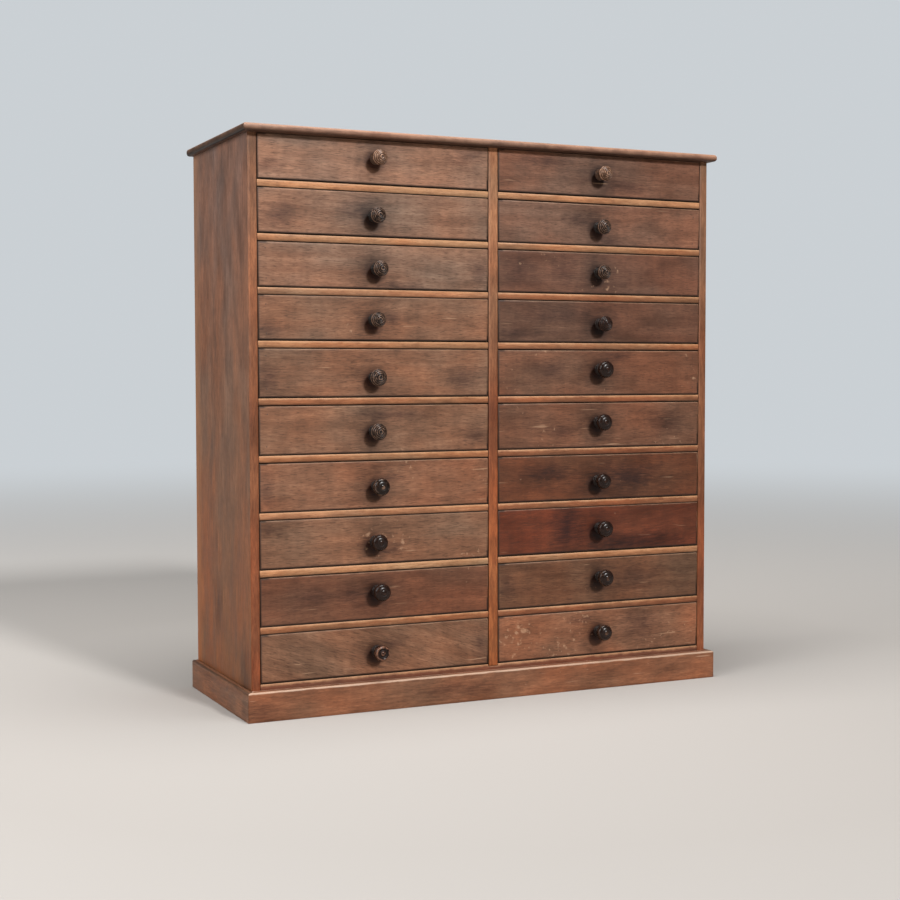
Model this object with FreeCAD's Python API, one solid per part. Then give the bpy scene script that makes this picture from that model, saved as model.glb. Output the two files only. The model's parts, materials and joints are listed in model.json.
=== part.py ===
import FreeCAD, Part
import math
import os

os.makedirs("parts", exist_ok=True)

# A bench cabinet for small parts: two columns of ten shallow drawers in a thin-boarded oak case,
# with rounded top slab, low plinth, bare drawer rails and one small turned knob to each drawer.
# Sizes are in millimetres. The cabinet stands on Z = 0 with the origin in the middle of its plan,
# +Z is up and the drawers open towards -Y. Rows are counted from the top.

# Drawer openings
tall_rows = 6
short_rows = 4
tall_opening_height = 65.0
short_opening_height = 59.4
opening_width = 331.8

# Case boards
case_depth = 251.0
side_thickness = 12.0
divider_thickness = 14.4
floor_thickness = 12.0
back_thickness = 7.0
back_board_count = 5
back_lap = 8.0
back_rebate_width = 6.0

# Top slab
slab_thickness = 10.0
slab_front_overhang = 13.0
slab_side_overhang = 8.7
slab_back_overhang = 3.0
slab_edge_radius = 4.0

# Plinth round the foot of the case
plinth_height = 39.2
plinth_front_thickness = 13.0
plinth_side_thickness = 8.7
plinth_edge_radius = 2.5
floor_reveal = 7.7
glue_strip_leg = 18.0

# Rails, runners and the battens that stop the drawers
rail_thickness = 9.5
rail_depth = 38.0
housing_depth = 3.0
housing_stop = 8.0
runner_width = 12.0
batten_width = 14.0
batten_thickness = 6.0

# Drawers
front_thickness = 11.0
front_lap = 3.5
front_setback = 0.4
front_height_gap = 1.4
drawer_end_gap = 0.6
running_gap = 0.3
stop_gap = 0.3
side_drop = 2.0
drawer_side_thickness = 6.5
drawer_back_thickness = 7.0
bottom_thickness = 4.0
bottom_groove_depth = 3.0
bottom_rise = 6.0
front_tails = 2
back_tails = 2
tail_slope = 1 / 6
pin_tip = 5.0

# Turned knobs, measured outwards from the drawer front
knob_length = 24.8
flange_radius = 8.0
flange_height = 2.2
flange_slope_height = 1.6
neck_radius = 5.0
head_radius = 10.5
head_widest_at = 17.4
head_back_depth = 9.2
head_face_radius = 4.6
knob_sides = 16

# Where each knob was bored, across and up from the middle of its front, top row first
knob_offsets = {
    "left": [(-1, 5), (-4, -2), (-0.5, -2.5), (-4.5, -1.5), (-4.5, -6),
             (-4.5, -3), (-1.5, -2), (-4, -2), (-1, 6), (-2, -1)],
    "right": [(-3.5, 2), (-5.5, -3.5), (-5, 1.5), (-3, -2.5), (-3, 5),
              (-5, 4.5), (-6, -5), (-3, 1), (-2, 5.5), (-4, 1.5)],
}

# How each front hangs in its opening: the share of its height gap that is left below it
low, middle, high = 0.3, 0.5, 0.7
front_hang = {
    "left": [high, high, middle, high, middle, low, low, middle, low, middle],
    "right": [high, low, middle, middle, low, low, middle, high, middle, middle],
}

# Heights that follow
rows = tall_rows + short_rows
opening_heights = [short_opening_height] * short_rows + [tall_opening_height] * tall_rows
floor_top = plinth_height + floor_reveal
floor_bottom = floor_top - floor_thickness
case_top = floor_top + sum(opening_heights) + rail_thickness * (rows - 1)

# Widths that follow
case_width = 2 * side_thickness + divider_thickness + 2 * opening_width
case_right = case_width / 2
case_left = -case_right
divider_right = divider_thickness / 2
column_left = {"left": -divider_right - opening_width, "right": divider_right}

# Depths that follow: the origin is halfway between the knobs' tips and the slab's back edge
front_reach = max(knob_length - front_setback, slab_front_overhang, plinth_front_thickness)
case_front = front_reach - (front_reach + case_depth + slab_back_overhang) / 2
case_back = case_front + case_depth
back_inside = case_back - back_thickness
batten_front = back_inside - batten_thickness
rail_back = case_front + rail_depth
housing_front = case_front + housing_stop

# Lengths of a drawer that follow
drawer_width = opening_width - 2 * drawer_end_gap
drawer_front_face = case_front + front_setback
drawer_front_back = drawer_front_face + front_thickness
drawer_tail_tip = drawer_front_face + front_lap
drawer_rear = batten_front - stop_gap
drawer_back_inside = drawer_rear - drawer_back_thickness


def row_floor(row):
    # Top of the rail, or of the case floor, that row stands on
    heights_below = opening_heights[row:]
    return floor_top + sum(heights_below) + rail_thickness * len(heights_below)


def block(x0, x1, y0, y1, z0, z1):
    return Part.makeBox(x1 - x0, y1 - y0, z1 - z0, FreeCAD.Vector(x0, y0, z0))


def prism(points, along):
    # A straight-sided solid: a closed outline pushed along a vector
    corners = []
    for point in points:
        if not corners or point.distanceToPoint(corners[-1]) > 1e-6:
            corners.append(point)
    outline = Part.makePolygon(corners + [corners[0]])
    return Part.Face(outline).extrude(along)


def plan_prism(points, z0, z1):
    corners = [FreeCAD.Vector(x, y, z0) for x, y in points]
    return prism(corners, FreeCAD.Vector(0, 0, z1 - z0))


def edges_where(solid, test):
    # Edges whose two ends both pass the test
    return [edge for edge in solid.Edges if all(test(vertex.Point) for vertex in edge.Vertexes)]


def runs_level(edge):
    return edge.BoundBox.ZLength < 0.01


def mirrored(shape):
    return shape.mirror(FreeCAD.Vector(0, 0, 0), FreeCAD.Vector(1, 0, 0))


def save(name, *solids):
    shape = solids[0] if len(solids) == 1 else Part.makeCompound(list(solids))
    shape.exportStep("parts/" + name + ".step")


# The case

def rail_levels():
    return [row_floor(row) for row in range(1, rows)]


def housings(face, into):
    # Stopped housings cut into an upright board: one for each rail and its runner
    x0, x1 = sorted((face, face + into * housing_depth))
    return [block(x0, x1, housing_front, back_inside, top - rail_thickness, top)
            for top in rail_levels()]


def side_board():
    # The left side: housed for rails and case floor, rebated for the back, let into the slab
    board = block(case_left, case_left + side_thickness, case_front, case_back,
                  0, case_top + housing_depth)
    inner = case_left + side_thickness
    floor_housing = block(inner - housing_depth, inner, housing_front, back_inside,
                          floor_bottom, floor_top)
    rebate = block(inner - back_rebate_width, inner, back_inside, case_back,
                   floor_bottom, case_top + housing_depth)
    return board.cut(housings(inner, -1) + [floor_housing, rebate])


def centre_divider():
    board = block(-divider_right, divider_right, case_front, back_inside,
                  floor_top - housing_depth, case_top + housing_depth)
    return board.cut(housings(-divider_right, 1) + housings(divider_right, -1))


def case_floor():
    # The floor board, notched to stand flush between the sides and tongued into them behind
    left = case_left + side_thickness
    points = [(left, case_front), (-left, case_front), (-left, housing_front),
              (-left + housing_depth, housing_front), (-left + housing_depth, back_inside),
              (left - housing_depth, back_inside), (left - housing_depth, housing_front),
              (left, housing_front)]
    board = plan_prism(points, floor_bottom, floor_top)
    trench = block(-divider_right, divider_right, case_front, back_inside,
                   floor_top - housing_depth, floor_top)
    return board.cut(trench)


def top_slab():
    # A thumb-rounded board: one length rounded along its front, one across its ends, so that
    # the rounding meets at mitred corners; the uprights are let into its underside
    left = case_left - slab_side_overhang
    front = case_front - slab_front_overhang
    back = case_back + slab_back_overhang
    radius = min(slab_edge_radius, 0.45 * slab_thickness)
    board = block(left, -left, front, back, case_top, case_top + slab_thickness)
    front_edges = edges_where(board, lambda p: p.y < front + 0.01)
    end_edges = edges_where(board, lambda p: p.x < left + 0.01)
    end_edges += edges_where(board, lambda p: p.x > -left - 0.01)
    rounded_front = board.makeFillet(radius, [edge for edge in front_edges if runs_level(edge)])
    rounded_ends = board.makeFillet(radius, [edge for edge in end_edges if runs_level(edge)])
    side_trench = block(case_left, case_left + side_thickness, case_front, case_back,
                        case_top, case_top + housing_depth)
    divider_trench = block(-divider_right, divider_right, case_front, back_inside,
                           case_top, case_top + housing_depth)
    slab = rounded_front.common(rounded_ends)
    return slab.cut([side_trench, mirrored(side_trench), divider_trench])


def back_boards():
    # Upright boards, half-lapped at their edges, nailed into the rebates
    left = case_left + side_thickness - back_rebate_width
    pitch = -2 * left / back_board_count
    mid = back_inside + back_thickness / 2
    boards = []
    for number in range(back_board_count):
        x0 = left + number * pitch
        x1 = x0 + pitch
        outer0 = x0 if number == 0 else x0 + back_lap
        outer1 = x1 if number == back_board_count - 1 else x1 + back_lap
        points = [(x0, back_inside), (x1, back_inside), (x1, mid), (outer1, mid),
                  (outer1, case_back), (outer0, case_back), (outer0, mid), (x0, mid)]
        if outer0 == x0:
            points.remove((x0, mid))
        boards.append(plan_prism([p for n, p in enumerate(points) if p not in points[:n]],
                                 floor_bottom, case_top))
    return boards


def rails(column):
    # Nine front rails, square at the face and stub-tongued into the uprights behind it
    x0 = column_left[column]
    x1 = x0 + opening_width
    points = [(x0, case_front), (x1, case_front), (x1, housing_front),
              (x1 + housing_depth, housing_front), (x1 + housing_depth, rail_back),
              (x0 - housing_depth, rail_back), (x0 - housing_depth, housing_front),
              (x0, housing_front)]
    return [plan_prism(points, top - rail_thickness, top) for top in rail_levels()]


def runners(face, inward):
    # Strips behind the rails that carry one end of each drawer, tongued into the same housings
    x0, x1 = sorted((face - inward * housing_depth, face + inward * runner_width))
    return [block(x0, x1, rail_back, batten_front, top - rail_thickness, top)
            for top in rail_levels()]


def batten(x0, x1):
    # An upright behind the runners: the back is nailed to it and the drawers stop against it
    return block(x0, x1, batten_front, back_inside, floor_top, case_top)


def battens(column):
    # One at each end of the column's openings
    x0 = column_left[column]
    x1 = x0 + opening_width
    return batten(x0, x0 + batten_width), batten(x1 - batten_width, x1)


# The plinth

plinth_left = case_left - plinth_side_thickness
plinth_face = case_front - plinth_front_thickness
mitre = min(plinth_front_thickness, plinth_side_thickness)


def plinth_front():
    points = [(plinth_left, plinth_face), (-plinth_left, plinth_face),
              (-plinth_left - mitre, plinth_face + mitre), (case_right, case_front),
              (case_left, case_front), (plinth_left + mitre, plinth_face + mitre)]
    board = plan_prism(points, 0, plinth_height)
    arris = edges_where(board, lambda p: p.z > plinth_height - 0.01 and p.y < plinth_face + 0.01)
    return board.makeFillet(plinth_edge_radius, arris)


def plinth_side():
    points = [(plinth_left, plinth_face), (plinth_left + mitre, plinth_face + mitre),
              (case_left, case_front), (case_left, case_back), (plinth_left, case_back)]
    board = plan_prism(points, 0, plinth_height)
    arris = edges_where(board, lambda p: p.z > plinth_height - 0.01 and p.x < plinth_left + 0.01)
    return board.makeFillet(plinth_edge_radius, arris)


def glue_strip():
    # A three-cornered strip rubbed into the corner between the plinth and the case floor
    left = case_left + side_thickness
    corners = [FreeCAD.Vector(left, case_front, floor_bottom),
               FreeCAD.Vector(left, case_front + glue_strip_leg, floor_bottom),
               FreeCAD.Vector(left, case_front, floor_bottom - glue_strip_leg)]
    return prism(corners, FreeCAD.Vector(-2 * left, 0, 0))


# The drawers

def tail_outline(z0, z1, count, root, tip):
    # Corners of a row of dovetails in the plane of a drawer side, from the lowest tail up.
    # Each tail is narrow at its root and flares towards its tip; half pins are left at both ends.
    pitch = (z1 - z0) / count
    half_tip = (pitch - pin_tip) / 2
    half_root = half_tip - abs(tip - root) * tail_slope
    corners = []
    for number in range(count):
        z = z0 + (number + 0.5) * pitch
        corners += [(root, z - half_root), (tip, z - half_tip), (tip, z + half_tip), (root, z + half_root)]
    return corners


def front_tail_corners(z0, z1):
    return tail_outline(z0, z1, front_tails, drawer_front_back, drawer_tail_tip)


def back_tail_corners(z0, z1):
    return tail_outline(z0, z1, back_tails, drawer_back_inside, drawer_rear)


def side_prism(corners, x0, x1):
    # An outline in the YZ plane, as thick as x0 to x1
    return prism([FreeCAD.Vector(x0, y, z) for y, z in corners], FreeCAD.Vector(x1 - x0, 0, 0))


def tail_sockets(corners, x0, x1):
    # One wedge for each tail in the outline, to be cut from the board that receives it
    return [side_prism(corners[n:n + 4], x0, x1) for n in range(0, len(corners), 4)]


def drawer(column, row):
    # One drawer: front with lapped dovetails, two sides, back with through dovetails, bottom
    floor = row_floor(row)
    opening_height = opening_heights[row - 1]
    left = column_left[column] + drawer_end_gap
    right = left + drawer_width
    inner_left = left + drawer_side_thickness
    inner_right = right - drawer_side_thickness
    side_bottom = floor + running_gap
    side_top = floor + opening_height - side_drop
    groove_bottom = side_bottom + bottom_rise
    groove_top = groove_bottom + bottom_thickness

    hang = front_hang[column][(row - 1) % len(front_hang[column])]
    front_bottom = floor + front_height_gap * hang
    front_top = front_bottom + opening_height - front_height_gap
    front_tails_here = front_tail_corners(side_bottom, side_top)
    back_tails_here = back_tail_corners(groove_top, side_top)

    panel = block(inner_left - bottom_groove_depth, inner_right + bottom_groove_depth,
                  drawer_front_back - bottom_groove_depth, drawer_rear, groove_bottom, groove_top)

    front = block(left, right, drawer_front_face, drawer_front_back, front_bottom, front_top)
    front_groove = block(inner_left, inner_right, drawer_front_back - bottom_groove_depth,
                         drawer_front_back, groove_bottom, groove_top)
    front = front.cut(tail_sockets(front_tails_here, left, inner_left)
                      + tail_sockets(front_tails_here, inner_right, right) + [front_groove])

    side_corners = [(drawer_front_back, side_bottom)] + front_tails_here
    side_corners += [(drawer_front_back, side_top), (drawer_back_inside, side_top)]
    side_corners += back_tails_here[::-1]
    side_corners += [(drawer_back_inside, groove_top), (drawer_rear, groove_top),
                     (drawer_rear, side_bottom)]
    left_side = side_prism(side_corners, left, inner_left).cut(panel)
    right_side = side_prism(side_corners, inner_right, right).cut(panel)

    back = block(left, right, drawer_back_inside, drawer_rear, groove_top, side_top)
    back = back.cut(tail_sockets(back_tails_here, left, inner_left)
                    + tail_sockets(back_tails_here, inner_right, right))

    across, up = knob_offsets[column][(row - 1) % len(knob_offsets[column])]
    handle = knob((left + right) / 2 + across, (front_bottom + front_top) / 2 + up)
    name = "drawer_%s_%02d" % (column, row)
    save(name + "_front", front, handle)
    save(name + "_box", left_side, right_side, back, panel)


def knob_profile():
    # Radius and distance out: a thin flange, a waisted neck and an egg-shaped head cut off flat
    profile = [(flange_radius, 0), (flange_radius, flange_height),
               (neck_radius, flange_height + flange_slope_height)]
    back_turn = math.acos(neck_radius / head_radius)
    face_turn = math.acos(head_face_radius / head_radius)
    front_depth = (knob_length - head_widest_at) / math.sin(face_turn)
    for turn, depth in ((-back_turn, head_back_depth), (-back_turn / 2, head_back_depth), (0, 0),
                        (face_turn / 2, front_depth), (face_turn, front_depth)):
        profile.append((head_radius * math.cos(turn), head_widest_at + depth * math.sin(turn)))
    return profile


def knob(x, z):
    # The profile turned about the knob's axis in flat facets, its flange seated on the front
    rings = []
    for radius, out in knob_profile():
        angles = [2 * math.pi * (side + 0.5) / knob_sides for side in range(knob_sides)]
        ring = [FreeCAD.Vector(x + radius * math.cos(a), drawer_front_face - out, z + radius * math.sin(a))
                for a in angles]
        rings.append(ring + [ring[0]])
    faces = [Part.Face(Part.makePolygon(ring)) for ring in (rings[0], rings[-1])]
    for inner, outer in zip(rings, rings[1:]):
        for a in range(knob_sides):
            facet = [inner[a], inner[a + 1], outer[a + 1], outer[a], inner[a]]
            faces.append(Part.Face(Part.makePolygon(facet)))
    return Part.Solid(Part.Shell(faces))


left_side_board = side_board()
left_plinth = plinth_side()
outer_left_batten, inner_left_batten = battens("left")
inner_right_batten, outer_right_batten = battens("right")

save("top_slab", top_slab())
save("side_left", left_side_board)
save("side_right", mirrored(left_side_board))
save("centre_divider", centre_divider())
save("case_floor", case_floor())
save("back_boards", *back_boards())
save("batten_left", outer_left_batten)
save("battens_centre", inner_left_batten, inner_right_batten)
save("batten_right", outer_right_batten)
save("plinth_front", plinth_front())
save("plinth_left", left_plinth)
save("plinth_right", mirrored(left_plinth))
save("glue_strip", glue_strip())

for column, x0 in column_left.items():
    at_left, at_right = ("outer", "inner") if column == "left" else ("inner", "outer")
    save("rails_" + column, *rails(column))
    save("runners_%s_%s" % (column, at_left), *runners(x0, 1))
    save("runners_%s_%s" % (column, at_right), *runners(x0 + opening_width, -1))
    for row in range(1, rows + 1):
        drawer(column, row)

print("case %.1f wide, %.1f deep, top of slab at %.1f" % (case_width, case_depth, case_top + slab_thickness))
print("carcass front at y = %.2f, knob length %.1f" % (case_front, knob_length))
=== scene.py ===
import json
import math
import random

import bpy
from mathutils import Matrix, Vector

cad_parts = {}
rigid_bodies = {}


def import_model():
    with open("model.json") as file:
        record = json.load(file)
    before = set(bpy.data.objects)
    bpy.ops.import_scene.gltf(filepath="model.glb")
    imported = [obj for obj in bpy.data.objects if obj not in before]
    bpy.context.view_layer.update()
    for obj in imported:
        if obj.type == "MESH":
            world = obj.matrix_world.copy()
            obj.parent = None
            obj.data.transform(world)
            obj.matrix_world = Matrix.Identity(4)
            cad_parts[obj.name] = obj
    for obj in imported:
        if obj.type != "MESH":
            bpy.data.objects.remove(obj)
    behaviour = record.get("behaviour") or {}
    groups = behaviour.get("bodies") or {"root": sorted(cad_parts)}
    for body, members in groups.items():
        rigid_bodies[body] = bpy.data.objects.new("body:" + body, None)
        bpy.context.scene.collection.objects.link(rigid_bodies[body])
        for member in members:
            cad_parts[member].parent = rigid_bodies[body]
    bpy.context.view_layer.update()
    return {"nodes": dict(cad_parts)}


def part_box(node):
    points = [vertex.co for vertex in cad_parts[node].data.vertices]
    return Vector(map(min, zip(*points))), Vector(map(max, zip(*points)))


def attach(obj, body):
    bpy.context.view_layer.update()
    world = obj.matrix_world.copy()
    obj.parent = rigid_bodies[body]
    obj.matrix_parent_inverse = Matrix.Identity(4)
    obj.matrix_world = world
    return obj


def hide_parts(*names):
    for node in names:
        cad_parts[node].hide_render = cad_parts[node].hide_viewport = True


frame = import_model()
mm = 0.001
random.seed(7)
print("frame loaded:", len(frame["nodes"]), "nodes")


# Helpers for shaping one piece at a time

def setMode(mode):
    bpy.ops.object.mode_set(mode=mode)


def clearSelection():
    if bpy.context.object and bpy.context.object.mode != "OBJECT":
        setMode("OBJECT")
    bpy.ops.object.select_all(action="DESELECT")


def makeActive(piece):
    clearSelection()
    piece.select_set(True)
    bpy.context.view_layer.objects.active = piece


def applyModifier(piece, kind, **settings):
    makeActive(piece)
    bpy.ops.object.modifier_add(type=kind)
    modifier = piece.modifiers[-1]
    for setting, value in settings.items():
        setattr(modifier, setting, value)
    bpy.ops.object.modifier_apply(modifier=modifier.name)


def editMesh(piece, action):
    makeActive(piece)
    setMode("EDIT")
    bpy.ops.mesh.select_all(action=action)


def selectNothing(piece, byFaces):
    bpy.context.tool_settings.mesh_select_mode = (False, not byFaces, byFaces)
    editMesh(piece, "DESELECT")
    setMode("OBJECT")


def cornersOf(piece, part):
    return [piece.data.vertices[number].co for number in part.vertices]


def selectFaces(piece, test):
    # Leaves the piece in edit mode with only the faces that pass the test selected
    selectNothing(piece, True)
    for face in piece.data.polygons:
        face.select = test(face)
    setMode("EDIT")


def selectEdges(piece, test):
    # The same for edges: the test is given an edge's two ends
    selectNothing(piece, False)
    for edge in piece.data.edges:
        edge.select = test(*cornersOf(piece, edge))
    setMode("EDIT")


def easeEdges(piece, width, segments=2):
    # Takes the arris off every sharp edge, as handling does
    applyModifier(piece, "BEVEL", width=width, segments=segments, limit_method="ANGLE",
                  angle_limit=math.radians(30), harden_normals=False)


def widthOf(piece, face):
    # Twice the area over the distance round, close to the width of a long face
    corners = cornersOf(piece, face)
    around = sum((first - second).length for first, second in zip(corners, corners[1:] + corners[:1]))
    return 2 * face.area / around


def markPiece(piece, **values):
    # Attributes that are the same all over a piece: a number, a colour as a tuple, or a Vector
    for name, value in values.items():
        if isinstance(value, Vector):
            kind, field, value = "FLOAT_VECTOR", "vector", tuple(value)
        elif isinstance(value, tuple):
            kind, field, value = "FLOAT_COLOR", "color", (*value, 1.0)
        else:
            kind, field, value = "FLOAT", "value", (value,)
        attribute = piece.data.attributes.new(name, kind, "POINT")
        attribute.data.foreach_set(field, value * len(piece.data.vertices))


def markArrisMask(piece, reach, smallest):
    # edgeWear, for wear and painted shade at the arrises: 1 along the arrises of a large face, 0 from reach
    # inwards. A narrow face stays 1 all over
    selectFaces(piece, lambda face: face.area > smallest and widthOf(piece, face) > 2.2 * reach)
    bpy.ops.mesh.inset(thickness=reach, use_individual=True, use_even_offset=True)
    setMode("OBJECT")
    markPiece(piece, edgeWear=1.0)
    for face in piece.data.polygons:
        if face.select:
            for vertex in face.vertices:
                piece.data.attributes["edgeWear"].data[vertex].value = 0.0


def dressPiece(piece, *materials, angle=35):
    for material in materials:
        piece.data.materials.append(material)
    makeActive(piece)
    bpy.ops.object.shade_smooth_by_angle(angle=math.radians(angle))


def newObject(name, data):
    made = bpy.data.objects.new(name, data)
    bpy.context.scene.collection.objects.link(made)
    return made


def copyOfNode(nodeName, pieceName):
    # The node's loose triangles are merged and its flat faces made whole
    piece = newObject(pieceName, frame["nodes"][nodeName].data.copy())
    piece.data.name = pieceName
    piece.data.materials.clear()
    editMesh(piece, "SELECT")
    bpy.ops.mesh.remove_doubles(threshold=0.01 * mm)
    bpy.ops.mesh.dissolve_limited(angle_limit=math.radians(0.5))
    setMode("OBJECT")
    bpy.ops.mesh.customdata_custom_splitnormals_clear()
    return piece


def applyPlace(piece):
    makeActive(piece)
    bpy.ops.object.transform_apply(location=True, rotation=True, scale=True)
    return piece


def newBlock(middle, size):
    clearSelection()
    bpy.ops.mesh.primitive_cube_add(size=1, location=middle, scale=size)
    return applyPlace(bpy.context.object)


def joinPieces(pieces, name):
    clearSelection()
    for piece in pieces:
        piece.select_set(True)
    bpy.context.view_layer.objects.active = pieces[0]
    if len(pieces) > 1:
        bpy.ops.object.join()
    joined = bpy.context.object
    joined.name = joined.data.name = name
    return joined


def finishPiece(piece, body, slot, *nodes):
    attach(piece, body)
    if nodes:
        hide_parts(*nodes)
    return piece


def faceOfBoard(node):
    # How far forward a board reaches at its lower edge, where no knob stands
    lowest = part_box(node)[0].z
    return min(vertex.co.y for vertex in frame["nodes"][node].data.vertices if vertex.co.z < lowest + mm)


# Helpers for shader trees

def giveSockets(tree, node, values):
    for socket, value in values.items():
        if isinstance(value, bpy.types.NodeSocket):
            tree.links.new(value, node.inputs[socket])
        else:
            node.inputs[socket].default_value = value


def nodeAdder(tree):
    def add(kind, links=None, **settings):
        node = tree.nodes.new("ShaderNode" + kind)
        for setting, value in settings.items():
            setattr(node, setting, value)
        giveSockets(tree, node, links or {})
        return node
    return add


def calculate(add, operation, *values):
    return add("Math", dict(enumerate(values)), operation=operation).outputs[0]


def times(add, first, second):
    return calculate(add, "MULTIPLY", first, second)


def timesPlus(add, first, second, third):
    return calculate(add, "MULTIPLY_ADD", first, second, third)


def calculateVector(add, operation, *values):
    return add("VectorMath", dict(enumerate(values)), operation=operation).outputs[0]


def lengthOf(add, vector):
    return add("VectorMath", {0: vector}, operation="LENGTH").outputs["Value"]


def partOf(add, vector, axis):
    return add("SeparateXYZ", {0: vector}).outputs[axis]


def upwardPart(add):
    # 1 where the surface looks up, -1 where it looks down
    return partOf(add, add("NewGeometry").outputs["Normal"], "Z")


def noiseOf(add, place, scale, detail=2.0, roughness=0.5):
    return add("TexNoise", {"Vector": place, "Scale": scale, "Detail": detail,
                            "Roughness": roughness}).outputs["Fac"]


def rangeOf(add, value, low, high, newLow=0.0, newHigh=1.0):
    node = add("MapRange", {"Value": value, "From Min": low, "From Max": high,
                            "To Min": newLow, "To Max": newHigh})
    return node.outputs["Result"]


def mixColours(add, share, first, second, blend="MIX"):
    first, second = ((*colour, 1.0) if isinstance(colour, tuple) else colour for colour in (first, second))
    return add("Mix", {0: share, 6: first, 7: second}, data_type="RGBA", blend_type=blend).outputs[2]


def tintColour(add, colour, tint):
    return mixColours(add, 1.0, colour, tint, "MULTIPLY")


def attributeValue(add, name, kind="Fac"):
    return add("Attribute", attribute_name=name).outputs[kind]


def newGroup(name, inputs, outputs):
    # A value of None makes a vector input; outputs are plain numbers
    group = bpy.data.node_groups.new(name, "ShaderNodeTree")
    for socketName, value in inputs:
        kind = "NodeSocketVector" if value is None else "NodeSocketFloat"
        socket = group.interface.new_socket(name=socketName, in_out="INPUT", socket_type=kind)
        if value is not None:
            socket.default_value = value
    for socketName in outputs:
        group.interface.new_socket(name=socketName, in_out="OUTPUT", socket_type="NodeSocketFloat")
    return group, group.nodes.new("NodeGroupInput").outputs, group.nodes.new("NodeGroupOutput").inputs


def useGroup(add, group, **values):
    return add("Group", {name.replace("_", " "): value for name, value in values.items()},
               node_tree=group).outputs


# Each figure's length over its width (under 1 it crosses the grain), its width in metres or the input
# that gives it, the noise's detail and roughness, and the noise values where it starts and is full
grainShape = {
    "Streaks": (9.0, "Streak Size", 5.0, 0.68, 0.3, 0.7),
    "Lines": (11.0, 0.0009, 3.0, 0.5, 0.52, 0.70),
    "Pores": (9.0, "Pore Size", 2.0, 0.5, 0.55, 0.68),
    "Blotches": (3.0, 0.024, 4.0, 0.62, 0.3, 0.7),
    "Patches": (1.7, 0.075, 2.0, 0.5, 0.36, 0.64),
    "Curl": (0.22, 0.060, 3.0, 0.6, 0.32, 0.68),
}
ringShape = dict(bendLength=5.0, bendSize=0.06, slant=0.35, figure=(0.35, 0.65), height=0.25, poreDepth=-0.9)


def buildGrainGroup():
    # Grain runs along X, with its sizes in metres on every board
    group, given, result = newGroup(
        "woodGrain",
        [("Vector", None), ("Seed", 0.0), ("Ring Width", 0.005), ("Waver", 0.02),
         ("Streak Size", 0.0024), ("Pore Size", 0.0005)],
        ["Rings", "Streaks", "Lines", "Pores", "Blotches", "Patches", "Curl", "Height"])
    add = nodeAdder(group)
    seed = add("CombineXYZ", {"X": given["Seed"], "Y": given["Seed"], "Z": given["Seed"]}).outputs[0]
    place = calculateVector(add, "MULTIPLY_ADD", seed, (31.0, 77.0, 53.0), given["Vector"])

    def stretched(alongLength, acrossSize, detail, roughness=0.5):
        acrossSize = given[acrossSize] if isinstance(acrossSize, str) else acrossSize
        across = calculate(add, "DIVIDE", 1.0, acrossSize)
        along = calculate(add, "DIVIDE", across, alongLength)
        scale = add("CombineXYZ", {"X": along, "Y": across, "Z": across}).outputs[0]
        return noiseOf(add, calculateVector(add, "MULTIPLY", place, scale), 1.0, detail, roughness)

    bend = stretched(ringShape["bendLength"], ringShape["bendSize"], 2.0)
    bend = times(add, bend, given["Waver"])
    parts = add("SeparateXYZ", {0: place}).outputs
    slanted = timesPlus(add, parts["Y"], ringShape["slant"], parts["Z"])
    across = calculate(add, "ADD", slanted, bend)
    ringPlace = calculate(add, "DIVIDE", across, given["Ring Width"])
    ringNoise = add("TexNoise", {"W": ringPlace, "Scale": 1.0, "Detail": 2.0, "Roughness": 0.55},
                    noise_dimensions="1D").outputs["Fac"]
    values = {"Rings": rangeOf(add, ringNoise, *ringShape["figure"])}
    for name, (*noise, starts, full) in grainShape.items():
        values[name] = rangeOf(add, stretched(*noise), starts, full)
    high = timesPlus(add, values["Rings"], ringShape["height"], values["Streaks"])
    values["Height"] = timesPlus(add, values["Pores"], ringShape["poreDepth"], high)
    for name, socket in values.items():
        group.links.new(socket, result[name])
    return group


wearShape = dict(patches=42.0, rubbed=(0.50, 0.85), scratchTurn=(0.3, 0.5, 0.9), scratched=(0.71, 0.78),
                 scratches=(16.0, 300.0, 300.0), chips=150.0, gathering=11.0, gathered=(0.45, 0.70),
                 gatherShare=0.23, bruised=(0.76, 0.88))


def buildWearGroup():
    # Breaks edgeWear up into rubbed wear. Lift is how much more an arris that looks up is rubbed
    group, given, result = newGroup(
        "rubbedEdge", [("Vector", None), ("Edge", 0.0), ("Amount", 0.5), ("Lift", 0.3), ("Spots", 0.3)],
        ["Rubbed", "Scuffs"])
    add = nodeAdder(group)
    patches = noiseOf(add, given["Vector"], wearShape["patches"], 4.0, 0.7)
    uneven = calculate(add, "ADD", patches, given["Amount"])
    uneven = timesPlus(add, upwardPart(add), given["Lift"], uneven)
    rubbed = rangeOf(add, times(add, uneven, given["Edge"]), *wearShape["rubbed"])
    turned = add("Mapping", {"Vector": given["Vector"], "Rotation": wearShape["scratchTurn"],
                             "Scale": wearShape["scratches"]}).outputs[0]
    scratches = rangeOf(add, noiseOf(add, turned, 1.0), *wearShape["scratched"])
    # Bruises: ragged, of all sizes, and gathered in a few places
    chips = noiseOf(add, given["Vector"], wearShape["chips"], 3.0)
    gathered = rangeOf(add, noiseOf(add, given["Vector"], wearShape["gathering"]), *wearShape["gathered"])
    level = timesPlus(add, times(add, gathered, given["Spots"]), wearShape["gatherShare"], chips)
    bruises = rangeOf(add, level, *wearShape["bruised"])
    group.links.new(rubbed, result["Rubbed"])
    group.links.new(calculate(add, "MAXIMUM", scratches, bruises), result["Scuffs"])
    return group


# Painted shade and grime in the seams between parts: near black just behind the front face, lighter deeper in
seamShadeAndGrimeShape = dict(starts=(0.05 * mm, 0.4 * mm), fades=(3 * mm, 8 * mm), inside=0.2, share=0.95,
                 colour=(0.014, 0.007, 0.004))


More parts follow.
